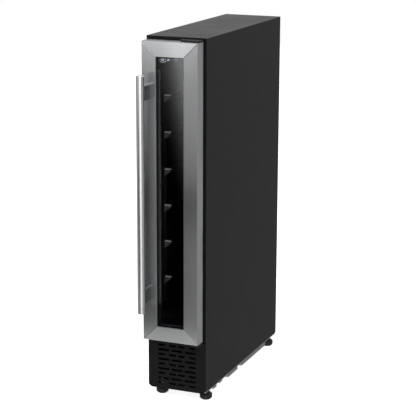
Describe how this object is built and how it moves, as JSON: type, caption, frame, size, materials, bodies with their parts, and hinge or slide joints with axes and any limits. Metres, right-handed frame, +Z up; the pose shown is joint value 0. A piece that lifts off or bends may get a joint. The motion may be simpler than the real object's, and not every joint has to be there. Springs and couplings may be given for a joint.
{
  "type": "wine cooler",
  "caption": "Slim built-in wine cooler: narrow black cabinet on levelling feet, glazed steel-framed door with a bar handle, stacked bottle shelves and a slotted kick plate.",
  "frame": {"origin": "middle of the whole footprint, on the floor", "axes": "+Z up, +Y to the back of the cabinet (the door faces -Y), +X to the hinge side (right, seen from the front)"},
  "size_m": [0.148, 0.5745, 0.87],
  "materials": {
    "black_paint": "satin black powder-coated steel sheet",
    "galvanised": "galvanised steel sheet",
    "black_frame": "matt black moulded frame",
    "foam": "foamed polyurethane insulation",
    "liner": "black moulded liner plastic",
    "fascia": "gloss black fascia",
    "board": "circuit board",
    "key_pad": "conductive touch pad",
    "diffuser": "opal diffuser",
    "fins": "aluminium fins and tube",
    "motor": "small black motor can",
    "fan_plastic": "moulded fan plastic",
    "black_plastic": "matt black plastic",
    "rubber": "soft black rubber",
    "compressor_paint": "gloss black paint",
    "copper": "copper tube",
    "hose": "flexible grey hose",
    "hinge_steel": "black coated steel plate",
    "screw_steel": "zinc plated steel",
    "stainless": "fine brushed stainless steel",
    "door_frame": "grey moulded door frame",
    "outer_glass": "smoked tempered glass",
    "inner_glass": "clear low-emission glass",
    "spacer": "anodised spacer bar",
    "gasket": "soft black magnetic gasket",
    "bush": "acetal bearing bush",
    "shelf_steel": "dark coated steel with bare bright edges",
    "foot_plastic": "black plastic foot on a steel stem"
  },
  "bodies": {
    "cabinet": {"back_panel": "galvanised", "base_tray": "galvanised", "cabinet_screws": "screw_steel", "circulation_fan_motor": "motor", "compartment_floor": "galvanised", "compressor": "compressor_paint", "compressor_mounts": "rubber", "condenser": "fins", "condenser_fan_motor": "motor", "condenser_shroud": "black_plastic", "control_fascia": "fascia", "control_housing": "liner", "cord_gland": "rubber", "display_module": "board", "drain_tube": "hose", "drip_tray": "black_plastic", "evaporator": "fins", "evaporator_cover": "liner", "filter_drier": "copper", "front_frame": "black_frame", "hinge_bracket_bottom": "hinge_steel", "hinge_bracket_top": "hinge_steel", "inner_liner": "liner", "insulation_foam": "foam", "kick_plate": "black_plastic", "light_strip": "diffuser", "rear_cover": "black_paint", "refrigerant_pipes": "copper", "shelf_ledges": "liner", "side_panel_left": "black_paint", "side_panel_right": "black_paint", "temperature_sensor": "fan_plastic", "terminal_cover": "black_plastic", "top_panel": "black_paint", "touch_keys": "key_pad"},
    "door": {"door_stile_left": "stainless", "door_stile_right": "stainless", "door_rail_top": "stainless", "door_rail_bottom": "stainless", "door_frame": "door_frame", "glass_outer": "outer_glass", "glass_inner": "inner_glass", "glass_spacer": "spacer", "door_gasket": "gasket", "hinge_bushes": "bush", "handle_tube": "stainless", "handle_posts": "stainless", "handle_screws": "screw_steel"},
    "shelf_1": {"shelf_1": "shelf_steel"},
    "shelf_2": {"shelf_2": "shelf_steel"},
    "shelf_3": {"shelf_3": "shelf_steel"},
    "shelf_4": {"shelf_4": "shelf_steel"},
    "shelf_5": {"shelf_5": "shelf_steel"},
    "shelf_6": {"shelf_6": "shelf_steel"},
    "circulation_fan": {"circulation_fan": "fan_plastic"},
    "condenser_fan": {"condenser_fan": "fan_plastic"},
    "foot_front_left": {"foot_front_left": "foot_plastic"},
    "foot_front_right": {"foot_front_right": "foot_plastic"},
    "foot_rear_left": {"foot_rear_left": "foot_plastic"},
    "foot_rear_right": {"foot_rear_right": "foot_plastic"}
  },
  "joints": [
    {"name": "door_hinge", "type": "hinge", "parent": "cabinet", "child": "door", "pos_m": [0.059, -0.22175, 0.51], "axis": [0, 0, 1], "range_deg": [0, 115]},
    {"name": "shelf_1_slide", "type": "slide", "parent": "cabinet", "child": "shelf_1", "axis": [0, -1, 0], "range_m": [0, 0.034]},
    {"name": "shelf_2_slide", "type": "slide", "parent": "cabinet", "child": "shelf_2", "axis": [0, -1, 0], "range_m": [0, 0.034]},
    {"name": "shelf_3_slide", "type": "slide", "parent": "cabinet", "child": "shelf_3", "axis": [0, -1, 0], "range_m": [0, 0.034]},
    {"name": "shelf_4_slide", "type": "slide", "parent": "cabinet", "child": "shelf_4", "axis": [0, -1, 0], "range_m": [0, 0.034]},
    {"name": "shelf_5_slide", "type": "slide", "parent": "cabinet", "child": "shelf_5", "axis": [0, -1, 0], "range_m": [0, 0.034]},
    {"name": "shelf_6_slide", "type": "slide", "parent": "cabinet", "child": "shelf_6", "axis": [0, -1, 0], "range_m": [0, 0.034]},
    {"name": "circulation_fan_spin", "type": "hinge", "parent": "cabinet", "child": "circulation_fan", "pos_m": [0, 0.20325, 0.65], "axis": [0, 1, 0], "continuous": true},
    {"name": "condenser_fan_spin", "type": "hinge", "parent": "cabinet", "child": "condenser_fan", "pos_m": [0, -0.10375, 0.09], "axis": [0, 1, 0], "continuous": true},
    {"name": "foot_front_left_screw", "type": "slide", "parent": "cabinet", "child": "foot_front_left", "axis": [0, 0, 1], "range_m": [-0.012, 0.009]},
    {"name": "foot_front_right_screw", "type": "slide", "parent": "cabinet", "child": "foot_front_right", "axis": [0, 0, 1], "range_m": [-0.012, 0.009]},
    {"name": "foot_rear_left_screw", "type": "slide", "parent": "cabinet", "child": "foot_rear_left", "axis": [0, 0, 1], "range_m": [-0.012, 0.009]},
    {"name": "foot_rear_right_screw", "type": "slide", "parent": "cabinet", "child": "foot_rear_right", "axis": [0, 0, 1], "range_m": [-0.012, 0.009]}
  ]
}
